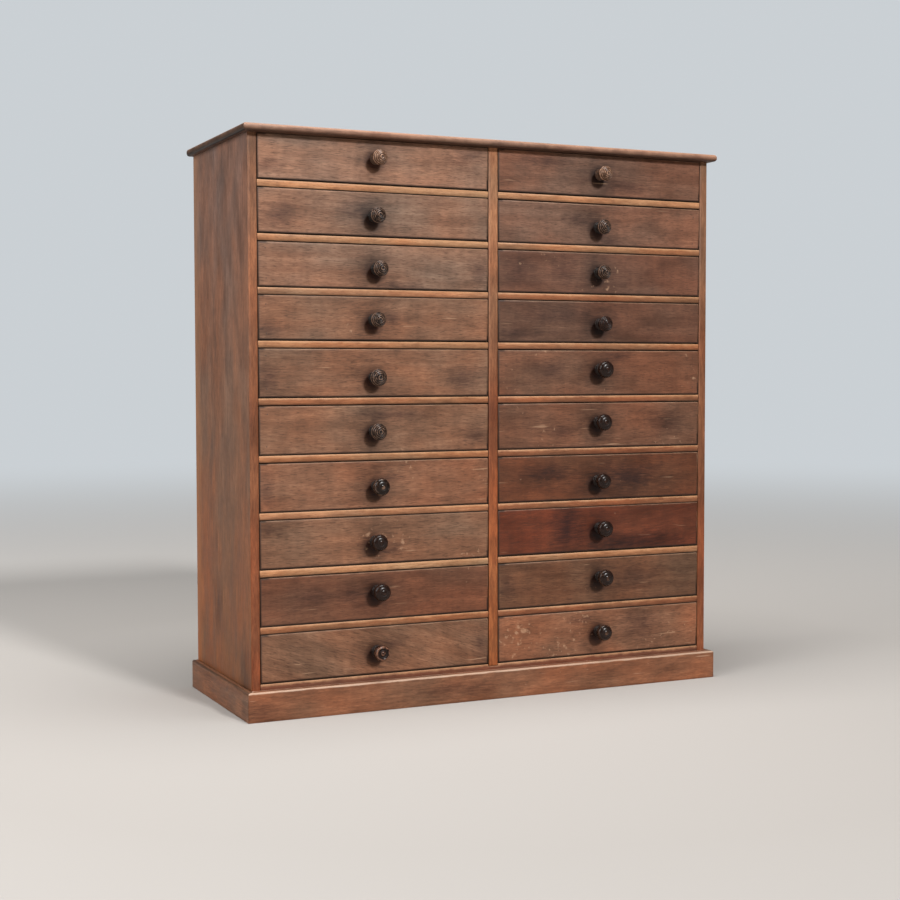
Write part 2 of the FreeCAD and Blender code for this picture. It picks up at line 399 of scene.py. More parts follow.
def buildSeamShadeAndGrimeGroup():
    # Painted shade and grime in the seams, full just behind the front face, where an arris that looks down
    # takes it as painted shade. Bare is how far back an arris that looks up stays free of it
    group, given, result = newGroup("seamDirt", [("Vector", None), ("Face", 0.0), ("Bare", 0.001)], ["Dirt"])
    add = nodeAdder(group)
    behind = calculate(add, "SUBTRACT", partOf(add, given["Vector"], "Y"), given["Face"])
    kept = times(add, upwardPart(add), given["Bare"])
    starts = rangeOf(add, calculate(add, "SUBTRACT", behind, kept), *seamShadeAndGrimeShape["starts"])
    fades = rangeOf(add, behind, *seamShadeAndGrimeShape["fades"], 1.0, seamShadeAndGrimeShape["inside"])
    group.links.new(times(add, starts, fades), result["Dirt"])
    return group


smudgeShape = dict(ragged=1.8, rim=(2.1, 0.9), smear=45.0, streaked=0.35)


def buildSmudgeGroup():
    # A ragged dark patch around Centre, Size from its middle to its rim
    group, given, result = newGroup("smudge", [("Vector", None), ("Centre", None), ("Size", None),
                                               ("Noise", 0.5)], ["Shade"])
    add = nodeAdder(group)
    away = calculateVector(add, "SUBTRACT", given["Vector"], given["Centre"])
    away = lengthOf(add, calculateVector(add, "DIVIDE", away, given["Size"]))
    ragged = timesPlus(add, given["Noise"], smudgeShape["ragged"], away)
    group.links.new(rangeOf(add, ragged, *smudgeShape["rim"]), result["Shade"])
    return group


grainGroup = buildGrainGroup()
wearGroup = buildWearGroup()
seamShadeAndGrimeGroup = buildSeamShadeAndGrimeGroup()
smudgeGroup = buildSmudgeGroup()


def newMaterial(name, ior=1.45, specular=0.3):
    # give sets the shader's own sockets, and add makes nodes
    material = bpy.data.materials.new(name)
    material.use_nodes = True
    tree = material.node_tree

    def give(values):
        giveSockets(tree, tree.nodes["Principled BSDF"], values)

    give({"IOR": ior, "Specular IOR Level": specular})
    return material, give, nodeAdder(tree)


def slantedPlace(add, place, name):
    # The attribute is how far the grain falls per metre
    rise = times(add, partOf(add, place, "X"), attributeValue(add, name))
    return calculateVector(add, "ADD", place, add("CombineXYZ", {"Z": rise}).outputs[0])


def ownOrMarked(add, value):
    # A finish gives a number or the name of an attribute
    return attributeValue(add, value) if isinstance(value, str) else value


# Grime and painted shadow around each knob, in metres from the knob's axis
knobGrimeAndShadow = dict(offset=(0.002, 0.004, 0), ragged=0.035, grimeAndShadowHalo=(0.026, 0.056), rim=(0.008, 0.018),
                 shadowRimColour=(0.22, 0.12, 0.07))
# Painted shade along the lower and left arrises of a front, in metres from the knob's axis
arrisDirt = dict(low=(-0.018, -0.021), left=(-0.150, -0.154), colour=(0.020, 0.009, 0.005))
# Painted light: heights between which a tint goes from low to middle, and from middle to high
paintedLightHeights = dict(low=(0.06, 0.38), high=(0.40, 0.68))


def woodMaterial(name, finish):
    # Streaks and rings along the grain, pores, old polish in patches, rubbed edges, grime, and painted shade
    # and light
    material, give, add = newMaterial(name)
    objectPlace = add("TexCoord").outputs["Object"]
    place = add("Mapping", {"Vector": objectPlace, "Rotation": finish["turn"]}).outputs[0]
    if "slantFrom" in finish:
        place = slantedPlace(add, place, finish["slantFrom"])
    grain = useGroup(add, grainGroup, Vector=place, Seed=attributeValue(add, "seed"),
                     Ring_Width=finish["ringWidth"], Waver=finish["waver"],
                     Streak_Size=finish["streakSize"], Pore_Size=finish["poreSize"])
    edge = attributeValue(add, "edgeWear")
    wear = useGroup(add, wearGroup, Vector=objectPlace, Edge=edge, Amount=finish["wearAmount"],
                    Lift=finish["lift"], Spots=ownOrMarked(add, finish["spots"]))

    def tinted(tint):
        return tintColour(add, colour, tint)

    def lay(mask, share, tone):
        return mixColours(add, times(add, mask, finish[share]), colour, finish[tone])

    colour = mixColours(add, grain["Streaks"], finish["dark"], finish["light"])
    colour = lay(grain["Rings"], "ringShare", "ring")
    if "colourFrom" in finish:
        colour = tinted(attributeValue(add, finish["colourFrom"], "Color"))
    colour = tinted(mixColours(add, grain["Patches"], *finish["hues"]))
    colour = tinted(rangeOf(add, grain["Curl"], 0, 1, *finish["curl"]))
    colour = tinted(rangeOf(add, grain["Blotches"], 0, 1, *finish["blotch"]))
    colour = lay(grain["Lines"], "lineShare", "pore")
    colour = lay(grain["Pores"], "poreShare", "pore")
    if "smudge" in finish:
        # Two places on each piece that have gone dark
        smear = noiseOf(add, place, smudgeShape["smear"], 3.0)
        smear = mixColours(add, smudgeShape["streaked"], smear, grain["Streaks"])
        for name in ("smudgeOne", "smudgeTwo"):
            shade = useGroup(add, smudgeGroup, Vector=objectPlace, Centre=attributeValue(add, name, "Vector"),
                             Size=attributeValue(add, name + "Size", "Vector"), Noise=smear)["Shade"]
            shade = times(add, shade, ownOrMarked(add, finish["smudgeShare"]))
            colour = mixColours(add, shade, colour, tinted(finish["smudge"]))
    if "grimeAndShadowHalo" in finish:
        # Grime left by fingers around the knob, with painted shadow: it is set a little low and to the left,
        # where the knob's shadow falls, and the dark warm ring at the knob's foot is painted shadow
        faceMap = add("UVMap", uv_map="faceMap").outputs[0]
        away = lengthOf(add, calculateVector(add, "ADD", faceMap, knobGrimeAndShadow["offset"]))
        ragged = timesPlus(add, smear, knobGrimeAndShadow["ragged"], away)
        colour = tinted(rangeOf(add, ragged, *knobGrimeAndShadow["grimeAndShadowHalo"], finish["grimeAndShadowHalo"], 1.0))
        pastShadowRim = rangeOf(add, away, *knobGrimeAndShadow["rim"])
        colour = tinted(mixColours(add, pastShadowRim, knobGrimeAndShadow["shadowRimColour"], (1.0, 1.0, 1.0)))
    if "rearBand" in finish:
        # Towards its rear edge the board is rubbed down to warmer wood
        band = finish["rearBand"]
        ragged = timesPlus(add, grain["Streaks"], band["ragged"], partOf(add, objectPlace, "Y"))
        share = rangeOf(add, ragged, band["from"], band["to"], 0.0, band["share"])
        colour = mixColours(add, share, colour, band["colour"])
    # Painted light: warm light thrown up from the floor near the bottom, cooler towards the top
    if "paintedHeightLight" in finish:
        height = partOf(add, objectPlace, "Z")
        low, middle, high = finish["paintedHeightLight"]
        tint = mixColours(add, rangeOf(add, height, *paintedLightHeights["low"]), low, middle)
        tint = mixColours(add, rangeOf(add, height, *paintedLightHeights["high"]), tint, high)
        colour = tinted(tint)
    colour = lay(wear["Scuffs"], "scuffShare", "scuff")
    colour = lay(wear["Rubbed"], "rubShare", "rubbed")
    if "paintedUnderShade" in finish:
        # Painted shade, dark where it looks down
        colour = tinted(rangeOf(add, upwardPart(add), -0.5, 0.25, finish["paintedUnderShade"], 1.0))
    # Painted shade, darker towards the lower arris of each rail
    if "paintedLowerShade" in finish:
        colour = tinted(rangeOf(add, edge, 0.0, 0.60, finish["paintedLowerShade"], 1.0))
    if "grimeAndShadowHalo" in finish:
        # Painted shade: the lower arris and the left one are darkened nearly black
        arrisShade = calculate(add, "MAXIMUM", rangeOf(add, partOf(add, faceMap, "Y"), *arrisDirt["low"]),
                          rangeOf(add, partOf(add, faceMap, "X"), *arrisDirt["left"]))
        arrisShade = times(add, arrisShade, edge)
        arrisShade = rangeOf(add, arrisShade, 0.1, 1.0, 0.0, finish["arrisDirt"])
        colour = mixColours(add, arrisShade, colour, arrisDirt["colour"])
    # Painted shade and grime in the seams between parts
    if "seamFace" in finish:
        shadeAndGrime = useGroup(add, seamShadeAndGrimeGroup, Vector=objectPlace, Face=finish["seamFace"],
                        Bare=finish["bareArris"])["Dirt"]
        colour = mixColours(add, times(add, shadeAndGrime, seamShadeAndGrimeShape["share"]), colour, seamShadeAndGrimeShape["colour"])
    roughness = rangeOf(add, grain["Blotches"], 0, 1, *finish["roughness"])
    bump = add("Bump", {"Height": grain["Height"], "Strength": finish["bump"], "Distance": 0.15 * mm})
    give({"Base Color": colour, "Roughness": roughness, "Normal": bump.outputs[0]})
    return material


alongX = (0.0, 0.0, 0.0)
alongZ = (0.0, math.radians(90), 0.0)
alongY = (0.0, 0.0, math.radians(90))
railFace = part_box("rails_left")[0].y
frontFace = faceOfBoard("drawer_left_01_front")

commonHues = ((0.90, 1.0, 1.06), (1.12, 0.98, 0.88))
# What a finish has unless it says otherwise
woodFinish = dict(turn=alongX, hues=commonHues, curl=(0.97, 1.03), lift=0.3, spots=0.3, ringShare=0.5,
                  lineShare=0.35, poreShare=0.35, waver=0.06, rubShare=0.5, scuffShare=0.4,
                  roughness=(0.42, 0.62), bump=0.2)
frontFinish = dict(woodFinish, curl=(0.90, 1.09), bareArris=2.0 * mm, colourFrom="boardColour",
    slantFrom="slant", spots="bruised", smudge=(0.30, 0.25, 0.29), smudgeShare="smudged", lift=0.35,
    arrisDirt=0.8, paintedHeightLight=((0.98, 0.92, 0.85), (0.97, 0.95, 0.91), (1.0, 1.0, 0.98)),
    dark=(0.76, 0.73, 0.70), light=(1.18, 1.19, 1.21), ring=(0.62, 0.52, 0.46), ringShare=0.40,
    blotch=(0.66, 1.30), lineShare=0.36, pore=(0.035, 0.014, 0.007), poreShare=0.50, grimeAndShadowHalo=0.56,
    ringWidth=0.009, streakSize=0.0016, poreSize=0.0010, wearAmount=0.08, rubbed=(0.42, 0.26, 0.17),
    scuff=(0.44, 0.26, 0.155), scuffShare=0.55, roughness=(0.40, 0.60), bump=0.18)
edgeFinish = dict(woodFinish, bareArris=0.6 * mm, dark=(0.19, 0.075, 0.032), light=(0.37, 0.175, 0.088),
    ring=(0.20, 0.075, 0.030), ringShare=0.45, blotch=(0.66, 1.2), pore=(0.08, 0.026, 0.010),
    ringWidth=0.006, waver=0.02, streakSize=0.0022, poreSize=0.0005, wearAmount=0.26,
    rubbed=(0.52, 0.275, 0.140), rubShare=0.72, scuff=(0.12, 0.045, 0.02))
railFinish = dict(edgeFinish, seamFace=railFace, paintedLowerShade=0.55, colourFrom="tone")
uprightFinish = dict(edgeFinish, turn=alongZ, dark=(0.125, 0.042, 0.018), light=(0.30, 0.125, 0.060),
                     wearAmount=0.05, rubbed=(0.08, 0.030, 0.014), rubShare=0.7, blotch=(0.55, 1.3),
                     paintedHeightLight=((1.05, 0.75, 0.59), (0.95, 0.80, 0.67), (0.99, 1.16, 1.27)))
dividerFinish = dict(uprightFinish, seamFace=railFace, dark=(0.16, 0.052, 0.021), light=(0.38, 0.155, 0.070),
                     paintedHeightLight=((1.30, 0.96, 0.61), (0.79, 0.575, 0.45), (1.28, 1.50, 1.63)))
caseFinish = dict(woodFinish, turn=alongZ, hues=((0.88, 1.0, 1.11), (1.12, 0.98, 0.87)),
    smudge=(0.35, 0.30, 0.28), smudgeShare=0.7, dark=(0.129, 0.061, 0.036), light=(0.280, 0.144, 0.090),
    ring=(0.24, 0.105, 0.055), blotch=(0.68, 1.24), lineShare=0.45, pore=(0.05, 0.024, 0.014),
    ringWidth=0.016, waver=0.05, streakSize=0.0045, poreSize=0.0008, wearAmount=0.10,
    rubbed=(0.35, 0.16, 0.075), rubShare=0.7, scuff=(0.28, 0.17, 0.11), scuffShare=0.3,
    roughness=(0.46, 0.64),
    rearBand={"from": 0.108, "to": 0.134, "share": 0.7, "ragged": 0.012, "colour": (0.31, 0.145, 0.070)},
    paintedHeightLight=((1.10, 0.80, 0.50), (1.02, 0.98, 0.92), (0.92, 1.02, 1.21)))
plinthFinish = dict(woodFinish, curl=(0.95, 1.05), lift=0.7, spots=0.5, smudge=(0.38, 0.33, 0.33),
    smudgeShare=0.7, dark=(0.135, 0.052, 0.024), light=(0.30, 0.125, 0.062), ring=(0.17, 0.060, 0.026),
    blotch=(0.58, 1.26), lineShare=0.42, pore=(0.06, 0.024, 0.012), ringWidth=0.010, waver=0.04,
    streakSize=0.0026, poreSize=0.0007, wearAmount=-0.02, rubbed=(0.52, 0.36, 0.26), rubShare=0.75,
    scuff=(0.46, 0.30, 0.20), scuffShare=0.5)
plinthSideFinish = dict(plinthFinish, turn=alongY, dark=(0.173, 0.073, 0.037), light=(0.367, 0.173, 0.094),
                        rubbed=(0.06, 0.034, 0.022), wearAmount=0.15, lift=0.3)
topFinish = dict(woodFinish, hues=((0.95, 1.0, 1.04), (1.06, 0.99, 0.94)), curl=(0.95, 1.05),
    paintedUnderShade=0.40, dark=(0.128, 0.056, 0.032), light=(0.275, 0.142, 0.090), ring=(0.20, 0.08, 0.042),
    ringShare=0.4, blotch=(0.70, 1.2), lineShare=0.3, pore=(0.05, 0.024, 0.014), ringWidth=0.012,
    streakSize=0.003, poreSize=0.0007, wearAmount=0.15, rubbed=(0.44, 0.24, 0.15), scuff=(0.36, 0.24, 0.17),
    roughness=(0.38, 0.60))
topEndFinish = dict(topFinish, turn=alongY, dark=(0.035, 0.018, 0.011), light=(0.085, 0.045, 0.028),
                    ring=(0.05, 0.024, 0.014), rubShare=0.2, scuffShare=0.1)
bareFinish = dict(woodFinish, turn=alongZ, hues=((0.97, 1.0, 1.03), (1.04, 0.99, 0.94)), curl=(0.95, 1.05),
    dark=(0.27, 0.165, 0.092), light=(0.44, 0.30, 0.18), ring=(0.31, 0.18, 0.09), ringShare=0.45,
    blotch=(0.78, 1.12), lineShare=0.2, pore=(0.15, 0.085, 0.045), poreShare=0.3, ringWidth=0.011,
    waver=0.07, streakSize=0.004, poreSize=0.0007, wearAmount=0.0, rubbed=(0.24, 0.145, 0.085),
    scuff=(0.17, 0.10, 0.06), scuffShare=0.35, roughness=(0.62, 0.80), bump=0.25)
liningFinish = dict(bareFinish, turn=alongY)
crossLiningFinish = dict(bareFinish, turn=alongX)

frontWood = woodMaterial("waxedFrontWood", dict(frontFinish, seamFace=frontFace))
railWood = woodMaterial("rubbedRailWood", railFinish)
uprightWood = woodMaterial("rubbedUprightWood", uprightFinish)
dividerWood = woodMaterial("rubbedDividerWood", dividerFinish)
caseWood = woodMaterial("fadedCaseWood", caseFinish)
plinthWood = woodMaterial("scuffedPlinthWood", plinthFinish)
plinthSideWood = woodMaterial("scuffedPlinthSideWood", plinthSideFinish)
topWood = woodMaterial("workedTopWood", topFinish)
topEndWood = woodMaterial("endGrainTopWood", topEndFinish)
backWood = woodMaterial("bareBackWood", dict(bareFinish, colourFrom="tone"))
battenWood = woodMaterial("bareBattenWood", bareFinish)
liningWood = woodMaterial("bareLiningWood", liningFinish)
crossLiningWood = woodMaterial("bareCrossLiningWood", crossLiningFinish)
print("woods made")


# Case boards, each eased from its node

boardShape = dict(ease=0.7 * mm, railEase=1.1 * mm, reach=2.4 * mm, smallest=0.0006)


railTones = dict(cream=(1.76, 2.02, 2.08), pale=(1.65, 1.72, 1.65), buff=(1.29, 1.40, 1.48),
                 tan=(1.30, 1.30, 1.22), plain=(1.10, 0.99, 0.88), orange=(1.08, 0.88, 0.76),
                 rust=(0.87, 0.68, 0.575), grimy=(0.57, 0.45, 0.49))
# Tint of each rail, the one under the top drawer first
tonesOfRails = {
    "railsLeft": ["cream", "pale", "buff", "tan", "plain", "tan", "buff", "cream", "plain"],
    "railsRight": ["pale", "tan", "plain", "plain", "orange", "rust", "orange", "tan", "rust"],
    "caseFloor": ["grimy"],
}


def markRails(piece, tones):
    # edgeWear is 1 along a rail's upper arris and 0 at its lower one, towards which the rail takes painted
    # shade
    heights = [[corner.z for corner in cornersOf(piece, face)]
               for face in piece.data.polygons if face.normal.y < -0.9]
    rails = []
    for low, high in sorted(((min(corners), max(corners)) for corners in heights), reverse=True):
        if rails and high > rails[-1][0] - mm:
            rails[-1][0] = min(low, rails[-1][0])
        else:
            rails.append([low, high])
    wear = piece.data.attributes["edgeWear"]
    tint = piece.data.attributes.new("tone", "FLOAT_COLOR", "POINT")
    for vertex in piece.data.vertices:
        number = min(range(len(rails)), key=lambda rail: abs(sum(rails[rail]) - 2 * vertex.co.z))
        low, high = rails[number]
        wear.data[vertex.index].value = min(1, max(0, (vertex.co.z - low) / (high - low)))
        tint.data[vertex.index].color = (*railTones[tones[number]], 1)


# Where boards have gone dark: the middle of each smudge in mm, and its half sizes
boardSmudges = {
    "sideLeft": [(-351, -88, 56, 20, 22, 46), (-351, 30, 132, 20, 18, 40)],
    "sideRight": [(351, 60, 600, 20, 40, 70), (351, -60, 90, 20, 40, 30)],
    "plinthFront": [(-340, -127, 14, 22, 20, 16), (-60, -127, 22, 60, 20, 14)],
    "plinthLeft": [(-359, -110, 16, 20, 18, 16), (-359, 60, 30, 20, 40, 12)],
    "plinthRight": [(359, -100, 16, 20, 22, 16), (359, 90, 26, 20, 40, 12)],
}


def markSmudges(piece, smudges):
    for name, smudge in zip(("smudgeOne", "smudgeTwo"), smudges):
        middle, size = (Vector([number * mm for number in part]) for part in (smudge[:3], smudge[3:]))
        markPiece(piece, **{name: middle, name + "Size": size})


def caseBoard(nodeName, pieceName, slot, material, ease=boardShape["ease"]):
    piece = copyOfNode(nodeName, pieceName)
    easeEdges(piece, ease)
    markArrisMask(piece, boardShape["reach"], boardShape["smallest"])
    markPiece(piece, seed=random.random())
    dressPiece(piece, material)
    finishPiece(piece, "carcass", slot, nodeName)
    if pieceName in boardSmudges:
        markSmudges(piece, boardSmudges[pieceName])
    return piece


def sideBoard(nodeName, pieceName):
    # Rubbed along its front edge, dull on its outer face
    piece = caseBoard(nodeName, pieceName, "case_wood", caseWood)
    piece.data.materials.append(uprightWood)
    for face in piece.data.polygons:
        face.material_index = 1 if face.normal.y < -0.4 else 0
    return piece


sideBoard("side_left", "sideLeft")
sideBoard("side_right", "sideRight")
caseBoard("centre_divider", "centreDivider", "edge_wood", dividerWood)
for nodeName, pieceName in (("case_floor", "caseFloor"), ("rails_left", "railsLeft"),
                            ("rails_right", "railsRight")):
    rails = caseBoard(nodeName, pieceName, "edge_wood", railWood, boardShape["railEase"])
    markRails(rails, tonesOfRails[pieceName])
caseBoard("plinth_front", "plinthFront", "plinth_wood", plinthWood)
caseBoard("plinth_left", "plinthLeft", "plinth_wood", plinthSideWood)
caseBoard("plinth_right", "plinthRight", "plinth_wood", plinthSideWood)


# Back boards, half-lapped over narrow gaps

backShape = {"gap": 0.8 * mm, "lap": 8.0 * mm, "ease": 1.0 * mm, "reach": 2.4 * mm, "seedStep": 0.37,
             "tones": [(1.0, 0.98, 0.95), (0.84, 0.82, 0.80), (1.08, 1.05, 1.02), (0.90, 0.90, 0.90),
                       (1.02, 0.96, 0.90)]}


def backBoard(number, low, high, pitch):
    # What both halves of the thickness share, then a lap drawn out to each side
    last = len(backShape["tones"]) - 1
    left = low.x + number * pitch + (backShape["lap"] + backShape["gap"] / 2 if number else 0)
    right = low.x + (number + 1) * pitch - (backShape["gap"] / 2 if number < last else 0)
    middle = Vector(((left + right) / 2, (low.y + high.y) / 2, (low.z + high.z) / 2))
    board = newBlock(middle, (right - left, high.y - low.y, high.z - low.z))
    editMesh(board, "SELECT")
    bpy.ops.mesh.bisect(plane_co=middle, plane_no=(0, 1, 0))
    setMode("OBJECT")
    for drawn, way in ((number > 0, -1), (number < last, 1)):
        if drawn:
            # The inner half reaches left, the outer half right
            selectFaces(board, lambda face: face.normal.x * way > 0.9
                        and (face.center.y - middle.y) * way > 0)
            bpy.ops.mesh.extrude_region_move(TRANSFORM_OT_translate={"value": (backShape["lap"] * way, 0, 0)})
            setMode("OBJECT")
    return board


def backBoards():
    low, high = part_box("back_boards")
    tones = backShape["tones"]
    seed = random.random()
    boards = [backBoard(number, low, high, (high.x - low.x) / len(tones)) for number in range(len(tones))]
    for number, board in enumerate(boards):
        easeEdges(board, backShape["ease"])
        markArrisMask(board, backShape["reach"], boardShape["smallest"])
        markPiece(board, seed=seed + backShape["seedStep"] * number, tone=tones[number])
    piece = joinPieces(boards, "backBoards")
    dressPiece(piece, backWood)
    finishPiece(piece, "carcass", "back_wood", "back_boards")


backBoards()


# Top board

topShape = dict(rounding=4.0 * mm, segments=5, reach=6.0 * mm)


def topBoard():
    low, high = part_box("top_slab")
    low.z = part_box("side_left")[1].z - 3 * mm
    piece = newBlock((low + high) / 2, high - low)
    piece.name = piece.data.name = "topBoard"
    # The back is left square
    selectEdges(piece, lambda first, second: abs(first.z - second.z) < mm
                and not (first.y > high.y - mm and second.y > high.y - mm))
    bpy.ops.mesh.bevel(offset=topShape["rounding"], segments=topShape["segments"], affect="EDGES")
    setMode("OBJECT")
    markArrisMask(piece, topShape["reach"], 0.1)
    markPiece(piece, seed=random.random())
    dressPiece(piece, topWood, topEndWood, angle=40)
    for face in piece.data.polygons:
        face.material_index = 1 if abs(face.normal.x) > 0.45 else 0
    finishPiece(piece, "carcass", "top_wood", "top_slab")


topBoard()


# Plain inner parts keep the frame's own shapes

def dressNode(nodeName, material):
    mesh = frame["nodes"][nodeName].data
    mesh.materials.clear()
    mesh.materials.append(material)


for nodeName in ("batten_left", "battens_centre", "batten_right"):
    dressNode(nodeName, battenWood)
for nodeName in ("runners_left_outer", "runners_left_inner", "runners_right_inner", "runners_right_outer"):
    dressNode(nodeName, liningWood)
dressNode("glue_strip", crossLiningWood)


# Nails

nailShape = dict(radius=1.7 * mm, stands=0.3 * mm, sides=14, fromEdge=24 * mm, aside=0.3, strays=0.03,
                 fromSide=6 * mm, strayUp=8 * mm)
pinShape = dict(radius=0.9 * mm, stands=0.08 * mm, sides=10, fromEnd=10.8 * mm, fromEdge=10 * mm, strays=mm,
                strayUp=2 * mm)
ironLook = dict(scale=700.0, dark=(0.018, 0.012, 0.009), rusty=(0.075, 0.038, 0.022), roughness=0.6)


def ironMaterial():
    material, give, add = newMaterial("darkIron", 1.5, 0.5)
    spots = noiseOf(add, add("TexCoord").outputs["Object"], ironLook["scale"])
    give({"Base Color": mixColours(add, spots, ironLook["dark"], ironLook["rusty"]),
          "Roughness": ironLook["roughness"]})
    return material


darkIron = ironMaterial()


def nailHeads(name, places, shape, outward):
    # Each stands slightly out of its board along Y
    heads = []
    for x, y, z in places:
        clearSelection()
        bpy.ops.mesh.primitive_cone_add(vertices=shape["sides"], radius1=shape["radius"],
                                        radius2=shape["radius"] * 0.8, depth=2 * shape["stands"],
                                        location=(x, y, z), rotation=(math.radians(-90) * outward, 0, 0))
        heads.append(applyPlace(bpy.context.object))
    piece = joinPieces(heads, name)
    piece.data.materials.append(darkIron)
    return piece


def backNails():
    low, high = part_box("back_boards")
    boards = len(backShape["tones"])
    pitch = (high.x - low.x) / boards
    places = []
    for board in range(boards):
        middle = low.x + (board + 0.5) * pitch
        for z in (low.z + nailShape["fromEdge"], high.z - nailShape["fromEdge"] / 2):
            for aside in (-nailShape["aside"], nailShape["aside"]):
                aside += random.uniform(-nailShape["strays"], nailShape["strays"])
                places.append((middle + aside * pitch, high.y, z))
    for x in (low.x + nailShape["fromSide"], high.x - nailShape["fromSide"]):
        for step in range(1, 6):
            stray = random.uniform(-nailShape["strayUp"], nailShape["strayUp"])
            places.append((x, high.y, low.z + (high.z - low.z) * step / 6 + stray))
    finishPiece(nailHeads("backNails", places, nailShape, 1), "carcass", "back_wood")


backNails()
print("case made")


# Knobs

# Profiles from the seat outwards: radius and distance out in mm, and how rubbed the wood is there
knobFoot = [(8.0, 0.0, 0), (8.2, 0.6, 0.2), (8.0, 1.5, 0.4), (7.2, 2.1, 0.1), (5.8, 2.7, 0), (5.2, 3.9, 0),
            (5.0, 6.0, 0), (5.4, 8.2, 0), (6.9, 10.2, 0.1), (8.7, 12.4, 0.3), (10.0, 14.8, 0.6)]
knobHeads = {
    "beehive": [(10.5, 16.9, 1), (10.3, 18.2, 1), (9.7, 18.9, 0.2), (9.3, 18.9, 0), (9.25, 19.5, 0.6),
                (8.9, 20.6, 1), (8.2, 21.2, 0.3), (7.8, 21.1, 0), (7.7, 21.8, 0.6), (7.2, 22.7, 1),
                (6.4, 23.1, 0.3), (6.0, 22.9, 0), (5.8, 23.4, 0.6), (5.1, 23.9, 1), (4.3, 23.9, 0.2),
                (3.7, 23.6, 0), (3.3, 23.9, 0.5), (2.8, 24.5, 1), (2.1, 24.6, 0.9), (1.5, 24.3, 0)],
    "target": [(10.5, 17.0, 0.6), (10.3, 19.0, 0.6), (9.7, 21.0, 0.7), (8.7, 22.7, 1), (7.7, 23.5, 1),
               (6.9, 23.6, 0.8), (6.2, 23.1, 0.2), (5.6, 22.2, 0), (4.4, 21.9, 0), (3.5, 22.3, 0),
               (3.2, 23.2, 0.5), (2.5, 24.0, 0.9), (1.4, 24.3, 1)],
    "button": [(10.5, 17.0, 0.7), (10.35, 18.9, 0.7), (9.7, 20.8, 0.7), (8.5, 22.4, 0.6), (6.7, 23.6, 0.5),
               (4.9, 24.15, 0.4), (4.0, 24.2, 0), (3.6, 24.05, 0), (3.2, 24.35, 0.5), (1.8, 24.75, 0.8)],
}
knobShape = dict(sides=40, diameter=21.0, grownFrom=5.0, grownBy=13.0, shadeAngle=50)
knobLook = dict(scale=(260.0, 900.0, 260.0), bare=(0.30, 0.54), mottle=(0.3, 0.7, 0.75, 1.25),
                dulled=-0.3, polish=(-0.15, 0.40, 0.46, 0.23), bump=0.2)
# Stain in the hollows, and wood rubbed bare on the crests
knobColours = dict(tan=((0.075, 0.036, 0.020), (0.37, 0.215, 0.140)),
                   brown=((0.010, 0.005, 0.003), (0.180, 0.106, 0.072)),
                   black=((0.013, 0.006, 0.004), (0.036, 0.015, 0.009)),
                   umber=((0.013, 0.006, 0.004), (0.090, 0.045, 0.027)),
                   chestnut=((0.013, 0.006, 0.004), (0.17, 0.078, 0.047)))


def knobMaterial():
    # Darker in the grooves, rubbed lighter on the crests
    material, give, add = newMaterial("polishedKnobWood", 1.5, 0.22)
    objectPlace = add("TexCoord").outputs["Object"]
    place = add("Mapping", {"Vector": objectPlace, "Scale": knobLook["scale"]}).outputs[0]
    mottle = noiseOf(add, place, 1.0, 4.0)
    crest = times(add, attributeValue(add, "edgeWear"), mottle)
    colour = mixColours(add, rangeOf(add, crest, *knobLook["bare"]),
                        attributeValue(add, "stain", "Color"), attributeValue(add, "bareWood", "Color"))
    colour = tintColour(add, colour, rangeOf(add, mottle, *knobLook["mottle"]))
    # Grime in the hollows is dull, and hands keep the crests and the head polished
    polish = timesPlus(add, mottle, knobLook["dulled"], attributeValue(add, "edgeWear"))
    bump = add("Bump", {"Height": mottle, "Strength": knobLook["bump"], "Distance": 0.1 * mm})
    give({"Base Color": colour, "Roughness": rangeOf(add, polish, *knobLook["polish"]),
          "Normal": bump.outputs[0]})
    return material


knobWood = knobMaterial()


def turnKnob(name, head, stain, place, diameter):
    # Starts as a disc on the drawer front and is drawn out ring by ring along -Y
    profile = knobFoot + knobHeads[head]
    clearSelection()
    bpy.ops.mesh.primitive_circle_add(vertices=knobShape["sides"], radius=profile[0][0] * mm,
                                      fill_type="NGON", location=place, rotation=(math.radians(90), 0, 0))
    knob = applyPlace(bpy.context.object)
    knob.name = knob.data.name = name
    editMesh(knob, "SELECT")
    for (radius, out, _), (radiusNext, outNext, _) in zip(profile, profile[1:]):
        bpy.ops.mesh.extrude_region_move(TRANSFORM_OT_translate={"value": (0, (out - outNext) * mm, 0)})
        share = radiusNext / radius
        bpy.ops.transform.resize(value=(share, 1, share),
                                 center_override=(place.x, place.y - outNext * mm, place.z))
    bpy.ops.mesh.poke()
    bpy.ops.mesh.select_all(action="SELECT")
    bpy.ops.mesh.normals_make_consistent(inside=False)
    setMode("OBJECT")
    finishKnob(knob, profile, stain, place, diameter)
    return knob


def finishKnob(knob, profile, stain, place, diameter):
    # Marks the wear of each ring and brings the head to its diameter
    wear = knob.data.attributes.new("edgeWear", "FLOAT", "POINT")
    for vertex in knob.data.vertices:
        away = Vector((vertex.co.x - place.x, 0, vertex.co.z - place.z))
        radius, out = away.length / mm, (place.y - vertex.co.y) / mm
        nearest = min(profile, key=lambda step: math.hypot(step[0] - radius, step[1] - out))
        wear.data[vertex.index].value = nearest[2]
        towardsHead = min(1, max(0, (out - knobShape["grownFrom"]) / knobShape["grownBy"]))
        vertex.co += away * (diameter / knobShape["diameter"] - 1) * towardsHead
    markPiece(knob, stain=knobColours[stain][0], bareWood=knobColours[stain][1])
    dressPiece(knob, knobWood, angle=knobShape["shadeAngle"])


# Drawers

